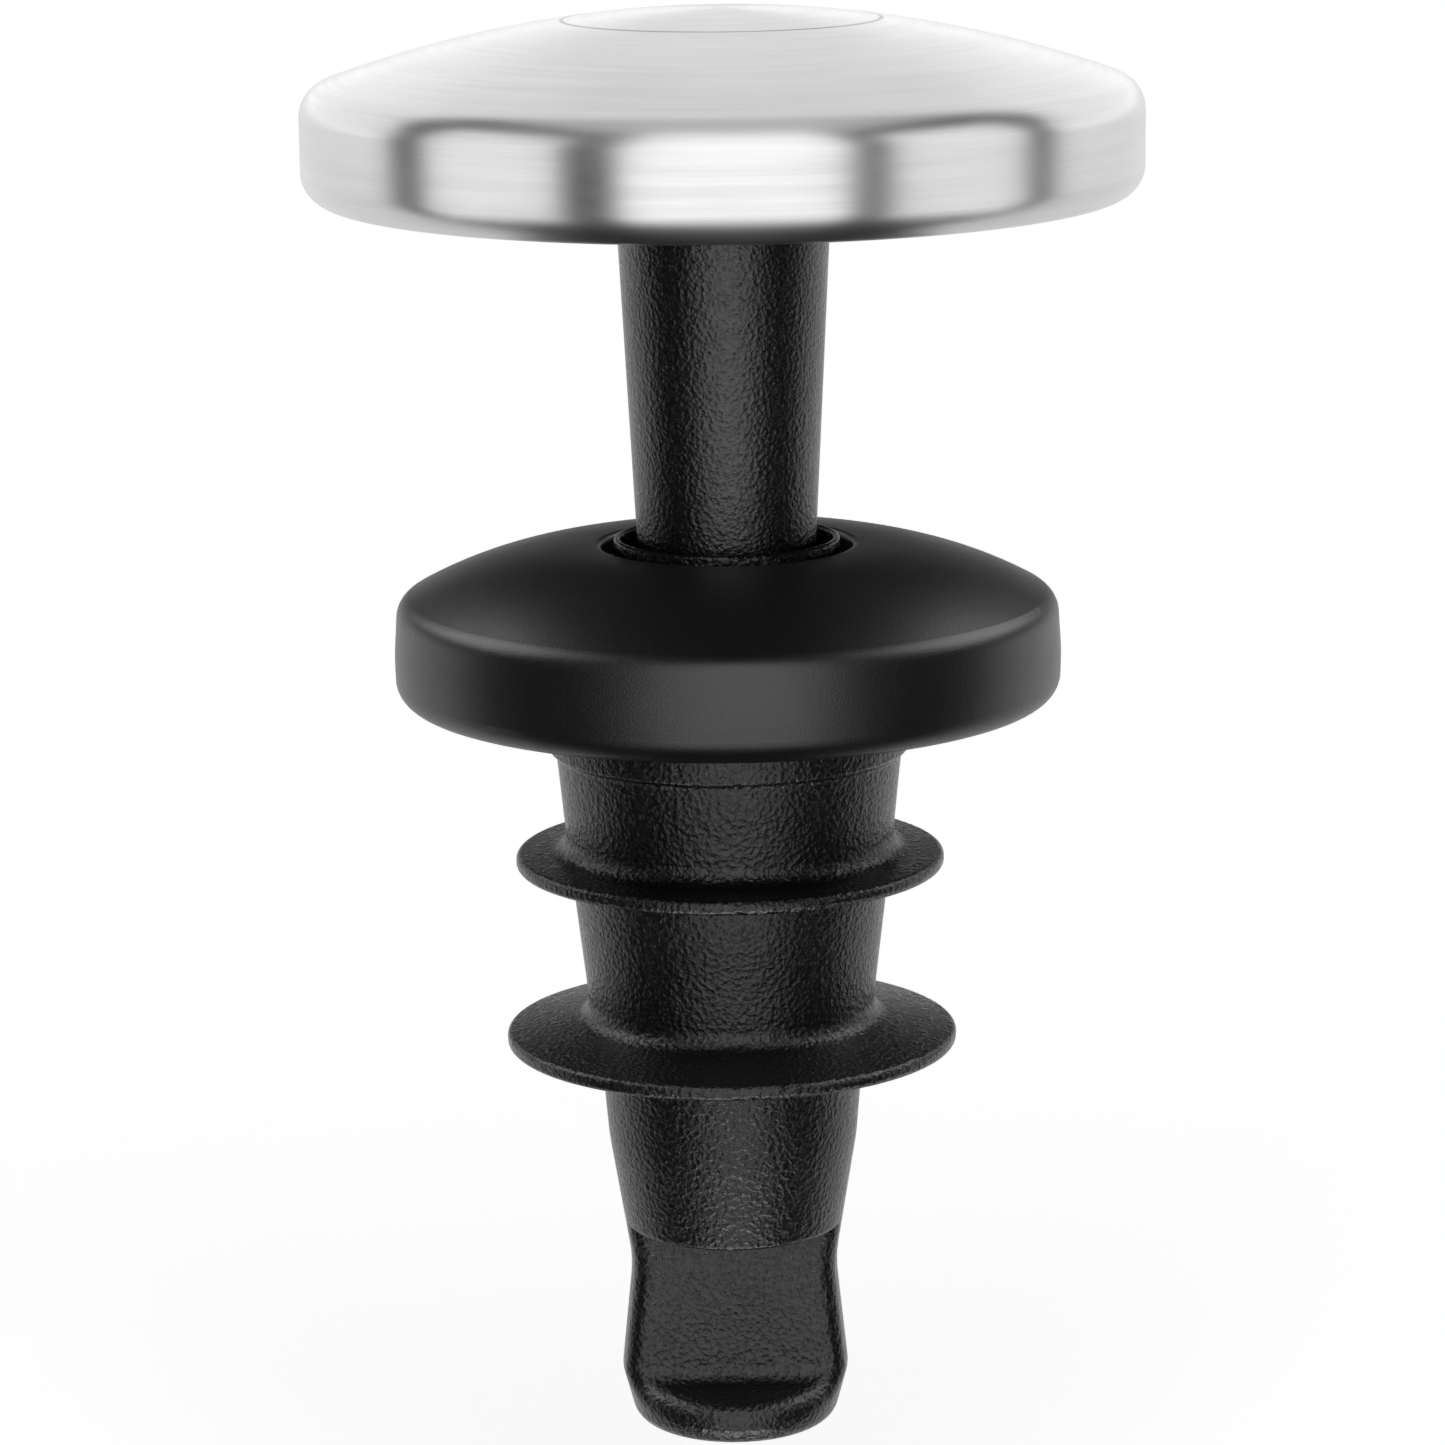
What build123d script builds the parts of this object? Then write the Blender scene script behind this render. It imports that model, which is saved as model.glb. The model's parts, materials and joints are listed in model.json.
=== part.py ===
from build123d import *
import math
import os

# Pull-up bottle stopper and pour spout, shown raised (open).
# Origin: centre of the collar's underside, the plane that rests on the bottle's rim.
# +Z points up to the steel cap, -Y is the side of the plug's front notch. Millimetres.

# ---- driving dimensions -------------------------------------------------------------
travel = 22.0                # how far the cap and stem push down from open to closed
running_gap = 0.07           # radial clearance of a sliding fit
seat_gap = 0.05              # gap left between faces that only touch at a stop
loose_gap = 0.1              # clearance between neighbouring shells
press_gap = 0.03             # gap drawn for a press fit
rib_overlap = 0.4            # how much longer a rib is than the space it bridges
near = 0.01                  # how closely an edge's place is compared

# steel cap
cap_radius = 21.7
cap_top_z = 35.95
cap_dome_radius = 61.0
skirt_bottom_z = 26.27
sheet = 0.6
cap_edge_round = 1.8
skirt_curl_round = 1.65
skirt_hem = 0.3              # flat left on the skirt's curled-in edge

# moulded insert inside the cap
insert_rim_radius = 18.4
insert_seat_radius = 10.0
insert_seat_width = 1.4
insert_plate = 1.6
insert_boss_radius = 7.4
insert_rib_count = 8
insert_rib_width = 1.0
insert_cavity_round = 0.5
boss_clearance = 0.7         # height of the closed cap's boss over the collar's crown
rib_clearance = 0.3          # height of the closed cap's ribs over the collar's crown

# stem
stem_throat_radius = 4.72
stem_throat_z = 9.0
stem_land_radius = 5.5
stem_land_z = 24.5
stem_land_round = 30.0       # long blend from the taper into the straight top
stem_top_z = 31.6
stem_top_round = 0.3
stem_bore_radius = 2.95
screw_boss_height = 3.0

# screw that ties cap insert, stem and foot together
screw_radius = 1.5
screw_head_radius = 2.75
screw_head_height = 1.7
screw_head_round = 0.35
screw_head_depth = 0.5       # how far the head lies below the insert's top
screw_drive_across = 2.0
screw_drive_depth = 1.0
screw_tip_z = 7.0
screw_tip_gap = 0.4

# foot on the stem's lower end
foot_flange_radius = 5.92
foot_flange_height = 1.2
foot_flange_round = 0.35
foot_neck_drop = 1.5         # height of the cone under the flange
foot_spigot_top_z = 14.5
foot_tip_radius = 3.45
foot_tip_bottom_z = -5.0
foot_tip_round = 1.1
ring_section_radius = 0.6
ring_centre_z = -3.2
lower_bore_radius = 3.9
ring_clearance = 0.03

# guide ring and pouring lip
throat_radius = stem_land_radius + running_gap
guide_outer_radius = 8.0
stop_z = 5.2                 # underside of the guide ribs, the raised stem's stop
guide_top_z = 6.6
guide_plate = 0.7
guide_rib_count = 6
guide_rib_width = 1.2
lip_outer_radius = 5.92
lip_flat = 0.02              # flat left between the lip's two rounds
lip_top_z = 8.5
lip_base_radius = 6.5
lip_base_height = 0.55
seal_thickness = 0.4

# collar
collar_hole_radius = 6.58
collar_radius = 17.3         # at the wall's top
collar_belt_radius = 17.48   # where the wall is widest
collar_belt_z = 2.4
collar_belt_round = 12.0
collar_foot_radius = 17.4
collar_crown_z = 8.16
collar_crown_radius = 21.0
collar_edge_round = 1.2
collar_bottom_round = 1.3
collar_hole_round = 0.3
collar_wall = 1.6
collar_base_thickness = 1.2
collar_base_hole_radius = 9.7
fence_width = 1.2

# core tube
core_bore_top_radius = 7.0
core_bore_guide_radius = 6.0
core_neck_radius = 8.0
core_shoulder_radius = 7.9
core_waist_radius = 6.7
core_tail_radius = 4.8
core_flange_radius = 12.6
core_flange_height = 1.2
core_guide_top_z = -16.5
core_guide_bottom_z = -18.4
core_end_z = -27.5
core_cone_height = 2.1
flange_room = 2.0            # straight bore below the raised foot's flange

# rubber sleeve
sleeve_flange_radius = 11.6
sleeve_flange_height = 1.0
shoulder_top_radius = 9.62
shoulder_bottom_radius = 9.48
shoulder_bottom_z = -2.72
shoulder_round = 0.22
neck_top_radius = 9.1
neck_top_z = -2.95
neck_top_round = 0.42
neck_bottom_radius = 8.58
upper_fin_radius = 11.32
upper_fin_top_z = -8.38
upper_fin_root_z = -8.15
upper_fin_bottom_z = -9.14
middle_top_radius = 8.45
middle_bottom_radius = 7.5
lower_fin_radius = 11.95
lower_fin_root_z = -17.15
lower_fin_top_z = -18.05
lower_fin_bottom_z = -18.72
lower_fin_under_z = -19.5
tail_top_radius = 7.0
tail_swell_radius = 6.62
tail_swell_z = -23.9
tail_swell_round = 9.0
tail_waist_radius = 5.47
tail_waist_z = -30.9
tail_waist_round = 7.0
nose_radius = 6.1
nose_widest_z = -36.9
nose_widest_round = 1.8
nose_bottom_z = -39.85
nose_bottom_radius = 5.3
nose_round = 1.2
fin_root_round = 0.9
upper_rim_round = 0.32
lower_rim_round = 0.28

# notches cut in the tail, front and back
notch_top_z = -28.8
blade_half_thickness = 2.05
ledge_root_z = -37.15
ledge_slope = 10.0           # degrees that the ledge falls away from the blade
ledge_root_round = 0.9
ledge_edge_round = 1.0       # round on the nose, where the ledge meets its side
notch_edge_round = 0.35
notch_overrun = 1.0          # how far the cut runs past the nose
port_radius = 4.0
port_depth = 0.2             # how far the bore runs into the blade's top


def dome_z(top_z, radius, r, start=0.0):
    """Height at radius r of an arc that is level at radius start and height top_z."""
    return top_z - radius + math.sqrt(radius**2 - (r - start) ** 2)


def corner(section, r, z):
    """The section's vertex nearest to radius r and height z."""
    return section.vertices().sort_by_distance((r, z, 0))[0]


notch_reach = nose_radius + notch_overrun
ledge_drop = (notch_reach - blade_half_thickness) * math.tan(math.radians(ledge_slope))


def is_notch_rim(edge):
    """True for an edge where a notch meets the tail's outer surface."""
    middle = edge @ 0.5
    beside_blade = abs(middle.Y) > blade_half_thickness - near
    at_surface = math.hypot(middle.X, middle.Y) > (port_radius + tail_waist_radius) / 2
    between_ends = ledge_root_z - ledge_drop < middle.Z < notch_top_z + near
    return beside_blade and at_surface and between_ends


def is_ledge_rim(edge):
    """True for the edge where a notch's ledge meets the nose's side."""
    return is_notch_rim(edge) and (edge @ 0.5).Z < ledge_root_z


parts = []

# ---- cap shell: drawn steel dome with its skirt curled in under the insert -------------
cap_edge_z = dome_z(cap_top_z, cap_dome_radius, cap_radius)
inner_radius = cap_radius - sheet
inner_top_z = cap_top_z - sheet
inner_dome_radius = cap_dome_radius - sheet
inner_edge_z = dome_z(inner_top_z, inner_dome_radius, inner_radius)
curl_radius = cap_radius - skirt_curl_round - skirt_hem
inner_floor_z = skirt_bottom_z + sheet
half_way = cap_radius / 2

with BuildPart() as cap_shell:
    with BuildSketch(Plane.XZ) as shell_section:
        with BuildLine():
            ThreePointArc(
                (0, cap_top_z),
                (half_way, dome_z(cap_top_z, cap_dome_radius, half_way)),
                (cap_radius, cap_edge_z),
            )
            Polyline(
                (cap_radius, cap_edge_z),
                (cap_radius, skirt_bottom_z),
                (curl_radius, skirt_bottom_z),
                (curl_radius, inner_floor_z),
                (inner_radius, inner_floor_z),
                (inner_radius, inner_edge_z),
            )
            ThreePointArc(
                (inner_radius, inner_edge_z),
                (half_way, dome_z(inner_top_z, inner_dome_radius, half_way)),
                (0, inner_top_z),
            )
            Line((0, inner_top_z), (0, cap_top_z))
        make_face()
        fillet(corner(shell_section, cap_radius, cap_edge_z), cap_edge_round)
        fillet(corner(shell_section, inner_radius, inner_edge_z), cap_edge_round - sheet)
        fillet(corner(shell_section, cap_radius, skirt_bottom_z), skirt_curl_round)
        fillet(corner(shell_section, inner_radius, inner_floor_z), skirt_curl_round - sheet)
    revolve(axis=Axis.Z)
parts.append((cap_shell, "cap_shell"))

# ---- cap insert: moulded cup that the shell is pressed over ---------------------------
insert_top_z = inner_top_z - seat_gap
insert_dome_radius = inner_dome_radius - seat_gap
insert_radius = inner_radius - seat_gap
insert_edge_z = dome_z(insert_top_z, insert_dome_radius, insert_radius)
insert_foot_z = inner_floor_z + seat_gap
insert_corner_round = cap_edge_round - sheet
insert_foot_round = skirt_curl_round - sheet + seat_gap
cavity_top_z = insert_top_z - insert_plate
cavity_dome_radius = insert_dome_radius - insert_plate
rim_cavity_z = dome_z(cavity_top_z, cavity_dome_radius, insert_rim_radius)
boss_bottom_z = collar_crown_z + travel + boss_clearance
rib_bottom_z = collar_crown_z + travel + rib_clearance
seat_z = (
    dome_z(collar_crown_z, collar_crown_radius, insert_seat_radius, collar_hole_radius)
    + travel
    + seat_gap
)
boss_cavity_z = dome_z(cavity_top_z, cavity_dome_radius, insert_boss_radius)

with BuildPart() as cap_insert:
    with BuildSketch(Plane.XZ) as insert_section:
        with BuildLine():
            ThreePointArc(
                (0, insert_top_z),
                (half_way, dome_z(insert_top_z, insert_dome_radius, half_way)),
                (insert_radius, insert_edge_z),
            )
            Polyline(
                (insert_radius, insert_edge_z),
                (insert_radius, insert_foot_z),
                (insert_rim_radius, insert_foot_z),
                (insert_rim_radius, rim_cavity_z),
            )
            ThreePointArc(
                (insert_rim_radius, rim_cavity_z),
                (half_way, dome_z(cavity_top_z, cavity_dome_radius, half_way)),
                (insert_boss_radius, boss_cavity_z),
            )
            Polyline(
                (insert_boss_radius, boss_cavity_z),
                (insert_boss_radius, boss_bottom_z),
                (0, boss_bottom_z),
                (0, insert_top_z),
            )
        make_face()
        fillet(corner(insert_section, insert_radius, insert_edge_z), insert_corner_round)
        fillet(corner(insert_section, insert_radius, insert_foot_z), insert_foot_round)
        fillet(corner(insert_section, insert_rim_radius, rim_cavity_z), insert_cavity_round)
    revolve(axis=Axis.Z)
    # seat ring that lands on the collar when the spout is pushed shut
    with BuildSketch(Plane.XY.offset(seat_z)):
        Circle(insert_seat_radius + insert_seat_width)
        Circle(insert_seat_radius, mode=Mode.SUBTRACT)
    extrude(until=Until.NEXT)
    # radial ribs between the boss and the rim, clear of the collar's crown
    rib_length = insert_rim_radius - insert_boss_radius
    with BuildSketch(Plane.XY.offset(rib_bottom_z)):
        with PolarLocations((insert_rim_radius + insert_boss_radius) / 2, insert_rib_count):
            Rectangle(rib_length + rib_overlap, insert_rib_width)
    extrude(until=Until.NEXT)
    # socket for the stem's top, and the screw's hole and counterbore
    with BuildSketch(Plane.XY.offset(boss_bottom_z)):
        Circle(stem_land_radius + press_gap)
    extrude(amount=stem_top_z - boss_bottom_z, mode=Mode.SUBTRACT)
    with Locations((0, 0, insert_top_z)):
        CounterBoreHole(
            screw_radius + loose_gap,
            screw_head_radius + loose_gap,
            screw_head_height + screw_head_depth,
        )
parts.append((cap_insert, "cap_insert"))

# ---- screw: clamps cap insert, stem and foot together, its head hidden by the shell -----
screw_seat_z = insert_top_z - screw_head_height - screw_head_depth
screw_head_top_z = screw_seat_z + screw_head_height

with BuildPart() as cap_screw:
    with BuildSketch(Plane.XZ):
        with BuildLine():
            Polyline(
                (0, screw_head_top_z),
                (screw_head_radius, screw_head_top_z),
                (screw_head_radius, screw_seat_z),
                (screw_radius, screw_seat_z),
                (screw_radius, screw_tip_z + screw_radius / 2),
                (screw_radius / 2, screw_tip_z),
                (0, screw_tip_z),
                close=True,
            )
        make_face()
    revolve(axis=Axis.Z)
    fillet(cap_screw.edges().group_by(Axis.Z)[-1], screw_head_round)
    with BuildSketch(Plane.XY.offset(screw_head_top_z)):
        RegularPolygon(screw_drive_across / 2, 6, major_radius=False)
    extrude(amount=-screw_drive_depth, mode=Mode.SUBTRACT)
parts.append((cap_screw, "cap_screw"))

# ---- stem: tapered tube, widest under the cap, that slides through the pouring lip ------
stem_bottom_z = stop_z - seat_gap
stem_taper = (stem_land_radius - stem_throat_radius) / (stem_land_z - stem_throat_z)
stem_bottom_radius = stem_throat_radius - stem_taper * (stem_throat_z - stem_bottom_z)

with BuildPart() as stem:
    with BuildSketch(Plane.XZ) as stem_section:
        with BuildLine():
            Polyline(
                (screw_radius + loose_gap, stem_top_z),
                (stem_land_radius, stem_top_z),
                (stem_land_radius, stem_land_z),
                (stem_bottom_radius, stem_bottom_z),
                (stem_bore_radius, stem_bottom_z),
                (stem_bore_radius, stem_top_z - screw_boss_height),
                (screw_radius + loose_gap, stem_top_z - screw_boss_height),
                close=True,
            )
        make_face()
        fillet(corner(stem_section, stem_land_radius, stem_land_z), stem_land_round)
        fillet(corner(stem_section, stem_land_radius, stem_top_z), stem_top_round)
    revolve(axis=Axis.Z)
parts.append((stem, "stem"))

# ---- foot: stop flange and sealing tip, plugged into the stem from below ----------------
flange_bottom_z = stem_bottom_z - foot_flange_height
ring_centre_radius = lower_bore_radius - ring_clearance - ring_section_radius
groove_floor_radius = ring_centre_radius - ring_section_radius
groove_half_width = ring_section_radius + seat_gap

with BuildPart() as stem_foot:
    with BuildSketch(Plane.XZ) as foot_section:
        with BuildLine():
            Polyline(
                (screw_radius, foot_spigot_top_z),
                (stem_bore_radius - press_gap, foot_spigot_top_z),
                (stem_bore_radius - press_gap, stem_bottom_z),
                (foot_flange_radius, stem_bottom_z),
                (foot_flange_radius, flange_bottom_z),
                (foot_tip_radius, flange_bottom_z - foot_neck_drop),
                (foot_tip_radius, ring_centre_z + groove_half_width),
                (groove_floor_radius, ring_centre_z + groove_half_width),
                (groove_floor_radius, ring_centre_z - groove_half_width),
                (foot_tip_radius, ring_centre_z - groove_half_width),
                (foot_tip_radius, foot_tip_bottom_z),
                (0, foot_tip_bottom_z),
                (0, screw_tip_z - screw_tip_gap),
                (screw_radius, screw_tip_z - screw_tip_gap),
                close=True,
            )
        make_face()
        fillet(corner(foot_section, foot_flange_radius, flange_bottom_z), foot_flange_round)
        fillet(corner(foot_section, foot_tip_radius, foot_tip_bottom_z), foot_tip_round)
    revolve(axis=Axis.Z)
parts.append((stem_foot, "stem_foot"))

# ---- sealing ring in the foot's groove, which closes the lower bore ---------------------
with BuildPart() as foot_o_ring:
    with BuildSketch(Plane.XZ):
        with Locations((ring_centre_radius, ring_centre_z)):
            Circle(ring_section_radius)
    revolve(axis=Axis.Z)
parts.append((foot_o_ring, "foot_o_ring"))

# ---- guide ring: carries the lip, and its ribs stop the flange and let liquid pass ------
guide_plate_z = guide_top_z - guide_plate
guide_rib_length = core_bore_top_radius - throat_radius

with BuildPart() as guide_ring:
    with BuildSketch(Plane.XZ):
        with BuildLine():
            Polyline(
                (throat_radius, guide_top_z),
                (guide_outer_radius, guide_top_z),
                (guide_outer_radius, stop_z),
                (core_bore_top_radius, stop_z),
                (core_bore_top_radius, guide_plate_z),
                (throat_radius, guide_plate_z),
                close=True,
            )
        make_face()
    revolve(axis=Axis.Z)
    with BuildSketch(Plane.XY.offset(stop_z)):
        with PolarLocations((throat_radius + core_bore_top_radius) / 2, guide_rib_count):
            Rectangle(guide_rib_length + rib_overlap, guide_rib_width)
        Circle(throat_radius, mode=Mode.SUBTRACT)
    extrude(amount=guide_plate_z - stop_z)
parts.append((guide_ring, "guide_ring"))

# ---- pouring lip: soft ring round the stem that stands proud of the collar's hole -------
lip_round = (lip_outer_radius - throat_radius - lip_flat) / 2

with BuildPart() as pour_lip:
    with BuildSketch(Plane.XZ) as lip_section:
        with BuildLine():
            Polyline(
                (throat_radius, guide_top_z),
                (lip_base_radius, guide_top_z),
                (lip_base_radius, guide_top_z + lip_base_height),
                (lip_outer_radius, guide_top_z + lip_base_height),
                (lip_outer_radius, lip_top_z),
                (throat_radius, lip_top_z),
                close=True,
            )
        make_face()
        fillet(corner(lip_section, lip_outer_radius, lip_top_z), lip_round)
        fillet(corner(lip_section, throat_radius, lip_top_z), lip_round)
    revolve(axis=Axis.Z)
parts.append((pour_lip, "pour_lip"))

# ---- seal washer between the core tube and the guide ring --------------------------------
core_top_z = stop_z - seal_thickness

with BuildPart() as guide_seal:
    with BuildSketch(Plane.XY.offset(core_top_z)):
        Circle(guide_outer_radius - seat_gap)
        Circle(core_bore_top_radius + seat_gap, mode=Mode.SUBTRACT)
    extrude(amount=seal_thickness)
parts.append((guide_seal, "guide_seal"))

# ---- collar cover: domed moulding that rests on the bottle and guides the drips ----------
sleeve_flange_top_z = collar_base_thickness + sleeve_flange_height
core_flange_top_z = sleeve_flange_top_z + core_flange_height
crown_edge_z = dome_z(collar_crown_z, collar_crown_radius, collar_radius, collar_hole_radius)
crown_mid = (collar_radius + collar_hole_radius) / 2
ceiling_radius = collar_crown_radius - collar_wall
ceiling_top_z = collar_crown_z - collar_wall
side_inner_radius = collar_foot_radius - collar_wall
hub_inner_radius = guide_outer_radius + seat_gap
hub_outer_radius = hub_inner_radius + collar_wall
side_ceiling_z = dome_z(ceiling_top_z, ceiling_radius, side_inner_radius, collar_hole_radius)
hub_ceiling_z = dome_z(ceiling_top_z, ceiling_radius, hub_outer_radius, collar_hole_radius)
ceiling_mid = (side_inner_radius + hub_outer_radius) / 2

with BuildPart() as collar_cover:
    with BuildSketch(Plane.XZ) as cover_section:
        with BuildLine():
            ThreePointArc(
                (collar_hole_radius, collar_crown_z),
                (crown_mid, dome_z(collar_crown_z, collar_crown_radius, crown_mid, collar_hole_radius)),
                (collar_radius, crown_edge_z),
            )
            Polyline(
                (collar_radius, crown_edge_z),
                (collar_belt_radius, collar_belt_z),
                (collar_foot_radius, 0),
                (side_inner_radius, 0),
                (side_inner_radius, side_ceiling_z),
            )
            ThreePointArc(
                (side_inner_radius, side_ceiling_z),
                (ceiling_mid, dome_z(ceiling_top_z, ceiling_radius, ceiling_mid, collar_hole_radius)),
                (hub_outer_radius, hub_ceiling_z),
            )
            Polyline(
                (hub_outer_radius, hub_ceiling_z),
                (hub_outer_radius, core_flange_top_z),
                (hub_inner_radius, core_flange_top_z),
                (hub_inner_radius, guide_top_z),
                (collar_hole_radius, guide_top_z),
                (collar_hole_radius, collar_crown_z),
            )
        make_face()
        fillet(corner(cover_section, collar_radius, crown_edge_z), collar_edge_round)
        fillet(corner(cover_section, collar_belt_radius, collar_belt_z), collar_belt_round)
        fillet(corner(cover_section, collar_foot_radius, 0), collar_bottom_round)
        fillet(corner(cover_section, collar_hole_radius, collar_crown_z), collar_hole_round)
    revolve(axis=Axis.Z)
parts.append((collar_cover, "collar_cover"))

# ---- collar base: ring that closes the cover and sits on the bottle's rim ----------------
base_outer_radius = side_inner_radius - press_gap
fence_inner_radius = core_flange_radius + loose_gap
fence_outer_radius = fence_inner_radius + fence_width

with BuildPart() as collar_base:
    with BuildSketch():
        Circle(base_outer_radius)
        Circle(collar_base_hole_radius, mode=Mode.SUBTRACT)
    extrude(amount=collar_base_thickness)
    with BuildSketch(Plane.XY.offset(collar_base_thickness)):
        Circle(fence_outer_radius)
        Circle(fence_inner_radius, mode=Mode.SUBTRACT)
    extrude(amount=sleeve_flange_height)
parts.append((collar_base, "collar_base"))

# ---- core tube: rigid liner, wide bore above, narrow sealing bore below ------------------
with BuildPart() as core_tube:
    with BuildSketch(Plane.XZ) as core_section:
        with BuildLine():
            Polyline(
                (core_bore_top_radius, core_top_z),
                (core_neck_radius, core_top_z),
                (core_neck_radius, core_flange_top_z),
                (core_flange_radius, core_flange_top_z),
                (core_flange_radius, sleeve_flange_top_z),
                (core_shoulder_radius, sleeve_flange_top_z),
                (core_waist_radius, core_guide_top_z),
                (core_waist_radius, core_guide_bottom_z),
                (core_tail_radius, core_guide_bottom_z - core_cone_height),
                (core_tail_radius, core_end_z),
                (lower_bore_radius, core_end_z),
                (lower_bore_radius, core_guide_bottom_z - core_cone_height),
                (core_bore_guide_radius, core_guide_bottom_z),
                (core_bore_guide_radius, core_guide_top_z),
                (core_bore_top_radius, stop_z - foot_flange_height - flange_room),
                close=True,
            )
        make_face()
    revolve(axis=Axis.Z)
parts.append((core_tube, "core_tube"))

# ---- stopper sleeve: rubber plug with two sealing fins, a notched tail and a nose --------
with BuildPart() as stopper_sleeve:
    with BuildSketch(Plane.XZ) as sleeve_section:
        with BuildLine():
            Polyline(
                (core_shoulder_radius, sleeve_flange_top_z),
                (sleeve_flange_radius, sleeve_flange_top_z),
                (sleeve_flange_radius, collar_base_thickness),
                (shoulder_top_radius, collar_base_thickness),
                (shoulder_top_radius, 0),
                (shoulder_bottom_radius, shoulder_bottom_z),
                (neck_top_radius, neck_top_z),
                (neck_bottom_radius, upper_fin_root_z),
                (upper_fin_radius, upper_fin_top_z),
                (upper_fin_radius, upper_fin_bottom_z),
                (middle_top_radius, upper_fin_bottom_z),
                (middle_bottom_radius, lower_fin_root_z),
                (lower_fin_radius, lower_fin_top_z),
                (lower_fin_radius, lower_fin_bottom_z),
                (tail_top_radius, lower_fin_under_z),
                (tail_swell_radius, tail_swell_z),
                (tail_waist_radius, tail_waist_z),
                (nose_radius, nose_widest_z),
                (nose_bottom_radius, nose_bottom_z),
                (0, nose_bottom_z),
                (0, notch_top_z - port_depth),
                (port_radius, notch_top_z - port_depth),
                (port_radius, core_end_z),
                (core_tail_radius, core_end_z),
                (core_tail_radius, core_guide_bottom_z - core_cone_height),
                (core_waist_radius, core_guide_bottom_z),
                (core_waist_radius, core_guide_top_z),
                close=True,
            )
        make_face()
        fillet(corner(sleeve_section, shoulder_bottom_radius, shoulder_bottom_z), shoulder_round)
        fillet(corner(sleeve_section, neck_top_radius, neck_top_z), neck_top_round)
        fillet(corner(sleeve_section, neck_bottom_radius, upper_fin_root_z), fin_root_round)
        fillet(corner(sleeve_section, upper_fin_radius, upper_fin_top_z), upper_rim_round)
        fillet(corner(sleeve_section, upper_fin_radius, upper_fin_bottom_z), upper_rim_round)
        fillet(corner(sleeve_section, middle_top_radius, upper_fin_bottom_z), fin_root_round / 2)
        fillet(corner(sleeve_section, middle_bottom_radius, lower_fin_root_z), fin_root_round)
        fillet(corner(sleeve_section, lower_fin_radius, lower_fin_top_z), lower_rim_round)
        fillet(corner(sleeve_section, lower_fin_radius, lower_fin_bottom_z), lower_rim_round)
        fillet(corner(sleeve_section, tail_top_radius, lower_fin_under_z), fin_root_round)
        fillet(corner(sleeve_section, tail_swell_radius, tail_swell_z), tail_swell_round)
        fillet(corner(sleeve_section, tail_waist_radius, tail_waist_z), tail_waist_round)
        fillet(corner(sleeve_section, nose_radius, nose_widest_z), nose_widest_round)
        fillet(corner(sleeve_section, nose_bottom_radius, nose_bottom_z), nose_round)
    revolve(axis=Axis.Z)
    for side in (-1, 1):
        with BuildSketch(Plane.YZ) as notch_section:
            with BuildLine():
                Polyline(
                    (side * blade_half_thickness, notch_top_z),
                    (side * notch_reach, notch_top_z),
                    (side * notch_reach, ledge_root_z - ledge_drop),
                    (side * blade_half_thickness, ledge_root_z),
                    close=True,
                )
            make_face()
            fillet(corner(notch_section, side * blade_half_thickness, ledge_root_z), ledge_root_round)
        extrude(amount=notch_reach, both=True, mode=Mode.SUBTRACT)
    fillet(stopper_sleeve.edges().filter_by(is_ledge_rim), ledge_edge_round)
    fillet(stopper_sleeve.edges().filter_by(is_notch_rim), notch_edge_round)
parts.append((stopper_sleeve, "stopper_sleeve"))

# ---- write one STEP file for each piece --------------------------------------------------
os.makedirs("parts", exist_ok=True)
for piece, name in parts:
    piece.part.label = name
    export_step(piece.part, f"parts/{name}.step")
    print(name, "solids", len(piece.part.solids()), "volume", round(piece.part.volume, 1))
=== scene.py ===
import json
import math

import bmesh
import bpy
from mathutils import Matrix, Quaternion, Vector

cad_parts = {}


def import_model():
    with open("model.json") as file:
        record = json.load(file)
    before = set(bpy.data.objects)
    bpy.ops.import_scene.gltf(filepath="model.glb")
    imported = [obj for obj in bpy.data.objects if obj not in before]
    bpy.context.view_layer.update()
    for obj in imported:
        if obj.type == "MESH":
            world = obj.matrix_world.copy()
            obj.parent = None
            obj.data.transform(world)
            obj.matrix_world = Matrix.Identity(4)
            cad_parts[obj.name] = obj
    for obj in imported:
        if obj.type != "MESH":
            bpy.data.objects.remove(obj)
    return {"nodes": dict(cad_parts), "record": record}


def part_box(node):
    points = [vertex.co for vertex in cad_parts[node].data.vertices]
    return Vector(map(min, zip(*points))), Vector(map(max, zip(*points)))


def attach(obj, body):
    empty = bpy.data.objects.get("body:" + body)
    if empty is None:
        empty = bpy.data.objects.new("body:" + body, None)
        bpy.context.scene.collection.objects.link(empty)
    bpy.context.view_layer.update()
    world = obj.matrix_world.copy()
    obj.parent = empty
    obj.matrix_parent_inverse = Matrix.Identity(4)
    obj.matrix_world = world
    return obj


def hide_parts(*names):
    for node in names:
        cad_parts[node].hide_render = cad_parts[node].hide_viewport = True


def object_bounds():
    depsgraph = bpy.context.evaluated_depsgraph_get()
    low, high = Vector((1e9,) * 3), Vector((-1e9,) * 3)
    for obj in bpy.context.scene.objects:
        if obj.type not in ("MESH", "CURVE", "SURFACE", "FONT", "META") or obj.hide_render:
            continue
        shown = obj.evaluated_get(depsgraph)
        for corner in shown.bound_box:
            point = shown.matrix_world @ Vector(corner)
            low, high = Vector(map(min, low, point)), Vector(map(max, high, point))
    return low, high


# Looks of a pull-up bottle stopper and pour spout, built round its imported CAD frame.
# Metres, row frame: +Z up to the steel cap, -Y is the front. Angles in degrees.

MM = 0.001

# view of the object: where the camera stands, as shares of the object's height
CAMERA_DISTANCE = 3.624
CAMERA_ELEVATION = 12.4
CAMERA_AIM = 0.006
CAMERA_ROLL = -0.62
CAMERA_YAW = 0.068
LENS = 129.9
SENSOR = 36.0
NEAREST = 0.01
FARTHEST = 20.0

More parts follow.
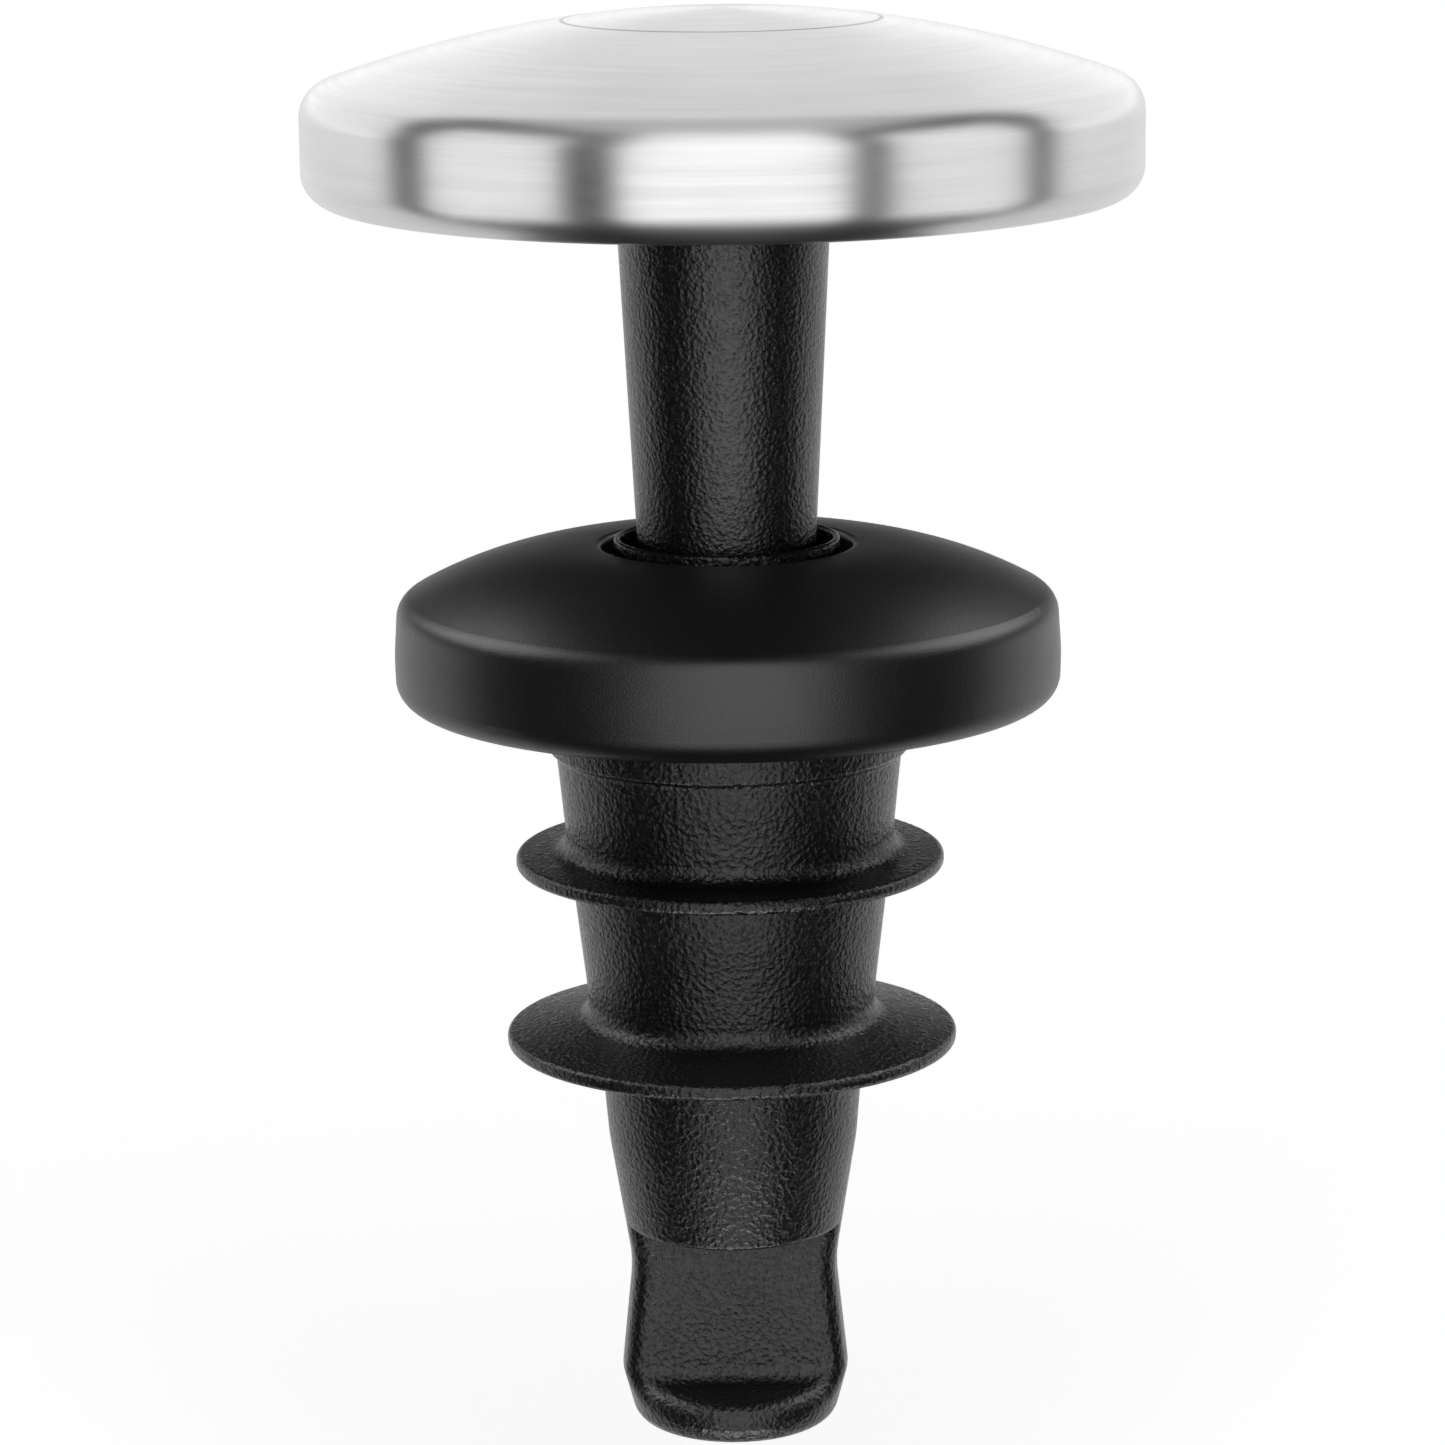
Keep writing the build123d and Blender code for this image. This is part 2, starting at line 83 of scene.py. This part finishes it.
# studio: heights above and below the horizon in degrees, azimuth 0 is the camera's side
FLOOR_DROP = 0.020
FLOOR_RADIUS = 4.0
FLOOR_SEGMENTS = 96
FLOOR_GLOW = 0.8
BOX_DISTANCE = 0.8
STRAY_LIGHT = 0.02
PALE = (1.0, 1.0, 1.0, 1.0)

# finishes: the black parts reflect with a faint plum tint
BLACK_SHEEN = (1.0, 0.965, 1.0, 1.0)
STEEL = (0.62, 0.615, 0.615)
SCREW_STEEL = (0.55, 0.55, 0.56)

# steel cap: the sheet's sizes, the thin ring turned into its dome, and how finely it is meshed
SHEET = 0.6 * MM
DOME_RADIUS = 61.0 * MM
EDGE_ROUND = 1.8 * MM
CURL_ROUND = 1.65 * MM
HEM = 0.3 * MM
RING_RADIUS = 8.2 * MM
RING_WIDTH = 0.22 * MM
GROOVE_HALF_WIDTH = 0.16 * MM
GROOVE_DEPTH = 0.02 * MM
AROUND = 288
DOME_STEPS = 80
GROOVE_STEPS = 6
ROUND_STEPS = 16
HEM_STEPS = 8


# ---- node trees ---------------------------------------------------------------------------
class Graph:
    """Adds nodes to a tree; each input takes a number, a colour, a vector or another node's output."""

    def __init__(self, tree):
        self.tree = tree

    def plug(self, value, socket):
        if isinstance(value, bpy.types.NodeSocket):
            self.tree.links.new(value, socket)
        else:
            socket.default_value = value

    def add(self, kind, inputs=None, **settings):
        node = self.tree.nodes.new(kind)
        for name, value in settings.items():
            setattr(node, name, value)
        for name, value in (inputs or {}).items():
            self.plug(value, node.inputs[name])
        return node

    def math(self, operation, *values):
        node = self.add("ShaderNodeMath", operation=operation)
        for socket, value in zip(node.inputs, values):
            self.plug(value, socket)
        return node.outputs[0]

    def vector_math(self, operation, *values):
        node = self.add("ShaderNodeVectorMath", operation=operation)
        for socket, value in zip(node.inputs, values):
            self.plug(value, socket)
        return node.outputs["Vector"]

    def scaled(self, vector, amount):
        node = self.add("ShaderNodeVectorMath", {"Vector": vector, "Scale": amount}, operation="SCALE")
        return node.outputs["Vector"]

    def ramp(self, value, low, high, to_low=0.0, to_high=1.0):
        inputs = {"Value": value, "From Min": low, "From Max": high, "To Min": to_low, "To Max": to_high}
        return self.add("ShaderNodeMapRange", inputs, interpolation_type="SMOOTHSTEP").outputs["Result"]

    def noise(self, vector, size, detail=2.0, roughness=0.5, distortion=0.0):
        inputs = {
            "Vector": vector,
            "Scale": 1.0 / size,
            "Detail": detail,
            "Roughness": roughness,
            "Distortion": distortion,
        }
        return self.add("ShaderNodeTexNoise", inputs).outputs["Fac"]

    def cells(self, vector, size, smoothness):
        inputs = {"Vector": vector, "Scale": 1.0 / size, "Smoothness": smoothness}
        return self.add("ShaderNodeTexVoronoi", inputs, feature="SMOOTH_F1").outputs["Distance"]

    def mix_colour(self, share, first, second):
        node = self.add("ShaderNodeMix", data_type="RGBA")
        self.plug(share, node.inputs[0])
        self.plug(first, node.inputs[6])
        self.plug(second, node.inputs[7])
        return node.outputs[2]

    def bump(self, height, strength, distance):
        inputs = {"Height": height, "Strength": strength, "Distance": distance}
        return self.add("ShaderNodeBump", inputs).outputs["Normal"]


def shade(tint, share):
    """A colour at a share of its strength, with the fourth number that a node's colour needs."""
    return tuple(min(1.0, c * share) for c in tint) + (1.0,)


def new_material(name):
    """A material with a Principled shader, its graph and its object-space position."""
    material = bpy.data.materials.new(name)
    material.use_nodes = True
    graph = Graph(material.node_tree)
    shader = material.node_tree.nodes["Principled BSDF"]
    place = graph.add("ShaderNodeTexCoord").outputs["Object"]
    return material, graph, shader, place


def radius_and_turn(graph, place):
    """Distance from the axis, and the unit vector away from it."""
    flat = graph.vector_math("MULTIPLY", place, (1.0, 1.0, 0.0))
    radius = graph.add("ShaderNodeVectorMath", {0: flat}, operation="LENGTH").outputs["Value"]
    turn = graph.add("ShaderNodeVectorMath", {0: flat}, operation="NORMALIZE").outputs["Vector"]
    return radius, turn


def lathe_streaks(graph, place, width, along):
    """Noise drawn out round the axis: fine across the brushing, long along it."""
    radius, turn = radius_and_turn(graph, place)
    height = graph.add("ShaderNodeSeparateXYZ", {0: place}).outputs["Z"]
    rise = graph.add("ShaderNodeCombineXYZ", {"Z": graph.math("DIVIDE", height, width)}).outputs[0]
    vector = graph.vector_math("ADD", graph.scaled(turn, along), rise)
    inputs = {
        "Vector": vector,
        "W": graph.math("DIVIDE", radius, width),
        "Scale": 1.0,
        "Detail": 3.0,
        "Roughness": 0.6,
    }
    return graph.add("ShaderNodeTexNoise", inputs, noise_dimensions="4D").outputs["Fac"]


# ---- materials ----------------------------------------------------------------------------
def brushed_steel(name, tint, ring_radius, ring_width):
    """Sheet steel brushed on a lathe, with a fine matt ring etched round its middle."""
    material, graph, shader, place = new_material(name)
    fine = lathe_streaks(graph, place, 0.06 * MM, 2.5)
    broad = lathe_streaks(graph, place, 0.5 * MM, 1.5)
    mottle = graph.noise(place, 5.0 * MM, 3.0)
    radius, _ = radius_and_turn(graph, place)
    off_ring = graph.math("ABSOLUTE", graph.math("SUBTRACT", radius, ring_radius))
    ring = graph.ramp(off_ring, ring_width * 0.4, ring_width * 0.6, 1.0, 0.0)
    tone = graph.math("ADD", graph.math("MULTIPLY", fine, 0.5), graph.math("MULTIPLY", broad, 0.5))
    colour = graph.mix_colour(graph.ramp(tone, 0.3, 0.7), shade(tint, 0.94), shade(tint, 1.05))
    graph.plug(graph.mix_colour(ring, colour, shade(tint, 0.7)), shader.inputs["Base Color"])
    rough = graph.ramp(tone, 0.3, 0.7, 0.34, 0.3)
    rough = graph.math("ADD", rough, graph.ramp(mottle, 0.3, 0.7, -0.01, 0.015))
    rough = graph.math("ADD", rough, graph.math("MULTIPLY", ring, 0.15))
    graph.plug(rough, shader.inputs["Roughness"])
    shader.inputs["Metallic"].default_value = 1.0
    shader.inputs["Anisotropic"].default_value = 0.8
    shader.inputs["Anisotropic Rotation"].default_value = 0.25
    tangent = graph.add("ShaderNodeTangent", direction_type="RADIAL", axis="Z").outputs["Tangent"]
    graph.plug(tangent, shader.inputs["Tangent"])
    graph.plug(graph.bump(fine, 0.06, 0.01 * MM), shader.inputs["Normal"])
    return material


def grained_black(name, tone, grain, depth, gloss, index):
    """Black moulding with a leather-like grain, with painted shade in its pits and a painted highlight on
    its ridges.
    """
    material, graph, shader, place = new_material(name)
    coarse = {"Vector": place, "Scale": 0.7 / grain, "Detail": 1.0}
    warp = graph.add("ShaderNodeTexNoise", coarse).outputs["Color"]
    bent = graph.vector_math("ADD", place, graph.scaled(warp, 0.8 * grain))
    folds = graph.cells(bent, grain, 0.35)
    wrinkles = graph.noise(bent, grain * 0.55, 3.0, 0.55)
    swell = graph.noise(place, grain * 8.0, 2.0)
    height = graph.math("ADD", graph.math("MULTIPLY", folds, 0.9), graph.math("MULTIPLY", wrinkles, 0.8))
    height = graph.math("ADD", height, graph.math("MULTIPLY", swell, 0.15))
    # painted shade and highlight: the base colour darkens where the grain is low and lightens where it is
    # high
    painted_pit_shade = shade((0.7, 0.68, 0.7), tone)
    painted_ridge_highlight = shade((1.25, 1.2, 1.25), tone)
    colour = graph.mix_colour(graph.ramp(height, 0.6, 1.3), painted_pit_shade, painted_ridge_highlight)
    graph.plug(colour, shader.inputs["Base Color"])
    worn = graph.ramp(graph.noise(place, 3.0 * MM, 3.0, 0.6), 0.3, 0.7, -0.01, 0.015)
    rough = graph.ramp(height, 0.5, 1.4, gloss + 0.06, gloss - 0.05)
    graph.plug(graph.math("ADD", rough, worn), shader.inputs["Roughness"])
    shader.inputs["IOR"].default_value = index
    shader.inputs["Specular Tint"].default_value = BLACK_SHEEN
    graph.plug(graph.bump(height, 1.0, depth), shader.inputs["Normal"])
    return material


def plain_black(name, tone, grain, depth, gloss, index):
    """Black moulding with a fine even texture and faint flow marks."""
    material, graph, shader, place = new_material(name)
    fine = graph.noise(place, grain, 2.0, 0.6)
    flow = graph.noise(place, 6.0 * MM, 3.0, 0.5, 0.6)
    dark = shade((0.85, 0.83, 0.85), tone)
    pale = shade((1.2, 1.17, 1.2), tone)
    mixed = graph.math("ADD", graph.math("MULTIPLY", fine, 0.6), graph.math("MULTIPLY", flow, 0.4))
    graph.plug(graph.mix_colour(graph.ramp(mixed, 0.3, 0.7), dark, pale), shader.inputs["Base Color"])
    graph.plug(graph.ramp(mixed, 0.3, 0.7, gloss + 0.04, gloss - 0.04), shader.inputs["Roughness"])
    shader.inputs["IOR"].default_value = index
    shader.inputs["Specular Tint"].default_value = BLACK_SHEEN
    graph.plug(graph.bump(fine, 1.0, depth), shader.inputs["Normal"])
    return material


def floor_material():
    """Pale paper, lit a little from behind so that it stays even; it can't be seen from below."""
    material, graph, shader, place = new_material("floor_paper")
    fibres = graph.noise(place, 1.5 * MM, 4.0, 0.7)
    paper = graph.mix_colour(fibres, shade(PALE[:3], 0.86), shade(PALE[:3], 0.9))
    graph.plug(paper, shader.inputs["Base Color"])
    shader.inputs["Roughness"].default_value = 0.8
    shader.inputs["Emission Color"].default_value = PALE
    shader.inputs["Emission Strength"].default_value = FLOOR_GLOW
    under = graph.add("ShaderNodeNewGeometry").outputs["Backfacing"]
    clear = graph.add("ShaderNodeBsdfTransparent").outputs[0]
    mix = graph.add("ShaderNodeMixShader", {0: under, 1: shader.outputs[0], 2: clear})
    output = material.node_tree.nodes["Material Output"]
    graph.plug(mix.outputs[0], output.inputs["Surface"])
    return material


# ---- meshes -------------------------------------------------------------------------------
def lathe(name, outline, around):
    """A closed surface of revolution about Z from an outline of (r, z) points; r 0 is a pole."""
    mesh = bmesh.new()
    turns = [2 * math.pi * i / around for i in range(around)]
    rings = []
    for r, z in outline:
        if r < 1e-9:
            rings.append([mesh.verts.new((0.0, 0.0, z))])
        else:
            rings.append([mesh.verts.new((r * math.cos(a), r * math.sin(a), z)) for a in turns])
    for near, far in zip(rings, rings[1:] + rings[:1]):
        for i in range(around):
            j = (i + 1) % around
            corners = [near[i % len(near)], near[j % len(near)], far[j % len(far)], far[i % len(far)]]
            corners = list(dict.fromkeys(corners))
            if len(corners) > 2:
                mesh.faces.new(corners)
    bmesh.ops.recalc_face_normals(mesh, faces=mesh.faces)
    data = bpy.data.meshes.new(name)
    mesh.to_mesh(data)
    mesh.free()
    data.polygons.foreach_set("use_smooth", [True] * len(data.polygons))
    piece = bpy.data.objects.new(name, data)
    bpy.context.scene.collection.objects.link(piece)
    return piece


def arc(centre, radius, start, end, steps):
    """Points on an arc in the (r, z) plane; angles in degrees from +r towards +z."""
    angles = [math.radians(start + (end - start) * i / steps) for i in range(steps + 1)]
    return [(centre[0] + radius * math.cos(a), centre[1] + radius * math.sin(a)) for a in angles]


def groove_drop(r):
    """How far the ring's shallow, round-edged groove lowers the dome at radius r."""
    share = min(1.0, abs(r - RING_RADIUS) / GROOVE_HALF_WIDTH)
    return GROOVE_DEPTH * 0.5 * (1 + math.cos(math.pi * share))


def shell_side(inset, low, high, grooved):
    """One face of the cap's sheet, from the pole over the dome and down the skirt to its curl.

    The inset is how far the face lies inside the sheet's outer one.
    """
    radius = high.x - inset
    bottom = low.z + inset
    dome = DOME_RADIUS - inset
    edge_round = EDGE_ROUND - inset
    curl_round = CURL_ROUND - inset
    centre_z = high.z - DOME_RADIUS
    edge_r = radius - edge_round
    edge_z = centre_z + math.sqrt((dome - edge_round) ** 2 - edge_r ** 2)
    lean = math.degrees(math.atan2(edge_z - centre_z, edge_r))
    last_r = dome * math.cos(math.radians(lean))
    radii = [last_r * i / DOME_STEPS for i in range(DOME_STEPS + 1)]
    if grooved:
        around_ring = range(-2 * GROOVE_STEPS, 2 * GROOVE_STEPS + 1)
        radii += [RING_RADIUS + GROOVE_HALF_WIDTH * i / GROOVE_STEPS for i in around_ring]
    points = []
    for r in sorted(set(radii)):
        drop = groove_drop(r) if grooved else 0.0
        points.append((r, centre_z + math.sqrt(dome ** 2 - r ** 2) - drop))
    points += arc((edge_r, edge_z), edge_round, lean, 0.0, ROUND_STEPS)[1:]
    points += arc((radius - curl_round, bottom + curl_round), curl_round, 0.0, -90.0, ROUND_STEPS)
    return points


def cap_shell_piece():
    """The drawn steel cap: dome with its ring, rolled edge, skirt and curl, as one sheet."""
    low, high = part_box("cap_shell")
    outer = shell_side(0.0, low, high, True)
    inner = shell_side(SHEET, low, high, False)
    hem_r = high.x - CURL_ROUND - HEM
    rolled = arc((hem_r, low.z + SHEET / 2), SHEET / 2, -90.0, -270.0, HEM_STEPS)
    piece = lathe("cap_shell_sheet", outer + rolled + inner[::-1], AROUND)
    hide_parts("cap_shell")
    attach(piece, "plunger")
    return piece


# ---- studio -------------------------------------------------------------------------------
def add_floor(low):
    """A wide pale floor a little under the object."""
    mesh = bmesh.new()
    bmesh.ops.create_circle(mesh, cap_ends=True, segments=FLOOR_SEGMENTS, radius=FLOOR_RADIUS)
    data = bpy.data.meshes.new("floor")
    mesh.to_mesh(data)
    mesh.free()
    floor = bpy.data.objects.new("floor", data)
    floor.location = (0.0, 0.0, low.z - FLOOR_DROP)
    bpy.context.scene.collection.objects.link(floor)
    data.materials.append(floor_material())
    floor.visible_glossy = False


def panel(graph, azimuth, elevation, sides, ends, blur, strength):
    """Light from one soft panel of the studio: its sides in azimuth, its ends in elevation."""
    left = graph.ramp(azimuth, sides[0] - blur[0], sides[0] + blur[0])
    right = graph.ramp(azimuth, sides[1] - blur[0], sides[1] + blur[0], 1.0, 0.0)
    bottom = graph.ramp(elevation, ends[0] - blur[1], ends[0] + blur[1])
    top = graph.ramp(elevation, ends[1] - blur[1], ends[1] + blur[1], 1.0, 0.0)
    across = graph.math("MULTIPLY", left, right)
    along = graph.math("MULTIPLY", bottom, top)
    return graph.math("MULTIPLY", graph.math("MULTIPLY", across, along), strength)


def add_studio():
    """Soft panels round the object, and a pale surround behind everything the camera sees."""
    world = bpy.data.worlds.new("studio")
    bpy.context.scene.world = world
    world.use_nodes = True
    graph = Graph(world.node_tree)
    direction = graph.add("ShaderNodeTexCoord").outputs["Generated"]
    split = graph.add("ShaderNodeSeparateXYZ", {0: direction})
    x, y, z = split.outputs[0], split.outputs[1], split.outputs[2]
    turn = graph.math("ARCTAN2", x, graph.math("MULTIPLY", y, -1.0))
    azimuth = graph.math("DEGREES", turn)
    elevation = graph.math("DEGREES", graph.math("ARCSINE", z))
    away = graph.math("ABSOLUTE", azimuth)
    front = panel(graph, azimuth, elevation, sides=(-28, 34.3), ends=(-35, 60), blur=(1.5, 8), strength=1.68)
    back = panel(graph, away, elevation, sides=(100.5, 200), ends=(-60, 7), blur=(3, 3), strength=0.93)
    total = graph.math("ADD", graph.math("ADD", front, back), STRAY_LIGHT)
    seen = graph.add("ShaderNodeLightPath").outputs["Is Camera Ray"]
    strength = graph.add("ShaderNodeMix", {0: seen, 2: total, 3: 1.0}, data_type="FLOAT").outputs[0]
    background = world.node_tree.nodes["Background"]
    background.inputs["Color"].default_value = PALE
    graph.plug(strength, background.inputs["Strength"])


def across_box(angle):
    """Width that a box at the studio's distance needs to fill an angle."""
    return 2 * BOX_DISTANCE * math.tan(math.radians(angle / 2))


def add_soft_box(name, azimuth, width, ends, radiance, pieces, node):
    """A soft box that lights only some pieces; angles as in the studio, seen from the CAD node's middle."""
    middle = math.radians((ends[0] + ends[1]) / 2)
    turn = math.radians(azimuth)
    out = Vector((math.sin(turn) * math.cos(middle), -math.cos(turn) * math.cos(middle), math.sin(middle)))
    data = bpy.data.lights.new(name, "AREA")
    data.shape = "RECTANGLE"
    data.size = across_box(width)
    data.size_y = across_box(ends[1] - ends[0])
    data.energy = radiance * math.pi * data.size * data.size_y
    box = bpy.data.objects.new(name, data)
    low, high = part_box(node)
    box.location = (low + high) / 2 + out * BOX_DISTANCE
    box.rotation_mode = "QUATERNION"
    box.rotation_quaternion = out.to_track_quat("Z", "Y")
    box.visible_camera = False
    receivers = bpy.data.collections.new(name + "_lights")
    for piece in pieces:
        receivers.objects.link(piece)
    box.light_linking.receiver_collection = receivers
    bpy.context.scene.collection.objects.link(box)


def add_cap_boxes(cap):
    """Soft boxes that give the steel cap its bright sides, back and top."""
    steel = {"pieces": [cap], "node": "cap_shell"}
    add_soft_box("left_box", azimuth=-65.0, width=42.5, ends=(-35.0, 40.0), radiance=1.35, **steel)
    add_soft_box("right_box", azimuth=67.0, width=43.0, ends=(-35.0, 40.0), radiance=1.3, **steel)
    add_soft_box("back_box", azimuth=180.0, width=154.0, ends=(6.0, 62.0), radiance=1.2, **steel)
    add_soft_box("top_box", azimuth=0.0, width=56.0, ends=(64.0, 116.0), radiance=0.65, **steel)


def add_black_boxes(collar, sleeve):
    """Soft boxes that give the black parts their rims: the collar's crown, and the fins above and below."""
    crown = {"width": 48.0, "ends": (22.0, 60.0), "radiance": 2.6}
    crown.update(pieces=[collar, sleeve], node="collar_cover")
    add_soft_box("left_rim_box", azimuth=-116.0, **crown)
    add_soft_box("right_rim_box", azimuth=116.0, **crown)
    fins = {"pieces": [sleeve], "node": "stopper_sleeve"}
    add_soft_box("low_box", azimuth=4.0, width=50.0, ends=(-80.0, -58.0), radiance=7.0, **fins)
    add_soft_box("high_box", azimuth=0.0, width=60.0, ends=(62.0, 108.0), radiance=3.0, **fins)


def add_camera(low, high):
    """The camera at the photograph's viewing angle, with its slight roll."""
    height = high.z - low.z
    middle = (low + high) / 2
    target = Vector((middle.x, middle.y, middle.z + CAMERA_AIM * height))
    tilt = math.radians(CAMERA_ELEVATION)
    back = Vector((0.0, -math.cos(tilt), math.sin(tilt)))
    data = bpy.data.cameras.new("camera")
    data.lens = LENS
    data.sensor_width = SENSOR
    data.clip_start = NEAREST
    data.clip_end = FARTHEST
    camera = bpy.data.objects.new("camera", data)
    bpy.context.scene.collection.objects.link(camera)
    camera.location = target + back * CAMERA_DISTANCE * height
    facing = (-back).to_track_quat("-Z", "Y")
    yaw = Quaternion((0.0, 1.0, 0.0), math.radians(CAMERA_YAW))
    roll = Quaternion((0.0, 0.0, 1.0), math.radians(CAMERA_ROLL))
    camera.rotation_mode = "QUATERNION"
    camera.rotation_quaternion = facing @ yaw @ roll
    bpy.context.scene.camera = camera


def dress(frame, materials):
    """Gives each CAD node that stays the material of its slot in the record."""
    slots = {part["node"]: part["material_slot"] for part in frame["record"]["subparts"]}
    for name, node in frame["nodes"].items():
        node.data.materials.clear()
        node.data.materials.append(materials[slots[name]])


def make_materials():
    """One material for each slot of the record; grain and depth are the moulded texture's sizes."""
    rubber = {"tone": 0.003, "grain": 0.28 * MM, "depth": 0.06 * MM, "gloss": 0.3, "index": 1.5}
    stem = {"tone": 0.003, "grain": 0.25 * MM, "depth": 0.045 * MM, "gloss": 0.3, "index": 1.62}
    collar = {"tone": 0.003, "grain": 0.11 * MM, "depth": 0.012 * MM, "gloss": 0.4, "index": 1.62}
    moulded = {"tone": 0.008, "grain": 0.12 * MM, "depth": 0.003 * MM, "gloss": 0.4, "index": 1.5}
    seal = {"tone": 0.012, "grain": 0.15 * MM, "depth": 0.004 * MM, "gloss": 0.6, "index": 1.5}
    return {
        "brushed_cap": brushed_steel("brushed_cap", STEEL, RING_RADIUS, RING_WIDTH),
        "screw_steel": brushed_steel("screw_steel", SCREW_STEEL, 0.0, 0.01 * MM),
        "grained_black": grained_black("grained_black", **stem),
        "grained_rubber": grained_black("grained_rubber", **rubber),
        "collar_black": plain_black("collar_black", **collar),
        "moulded_black": plain_black("moulded_black", **moulded),
        "seal_rubber": plain_black("seal_rubber", **seal),
    }


def main():
    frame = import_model()
    cad_low, cad_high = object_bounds()
    scene = bpy.context.scene
    scene.view_settings.view_transform = "Standard"
    materials = make_materials()
    dress(frame, materials)
    cap = cap_shell_piece()
    cap.data.materials.append(materials["brushed_cap"])
    add_floor(cad_low)
    add_studio()
    add_cap_boxes(cap)
    add_black_boxes(frame["nodes"]["collar_cover"], frame["nodes"]["stopper_sleeve"])
    add_camera(cad_low, cad_high)


main()
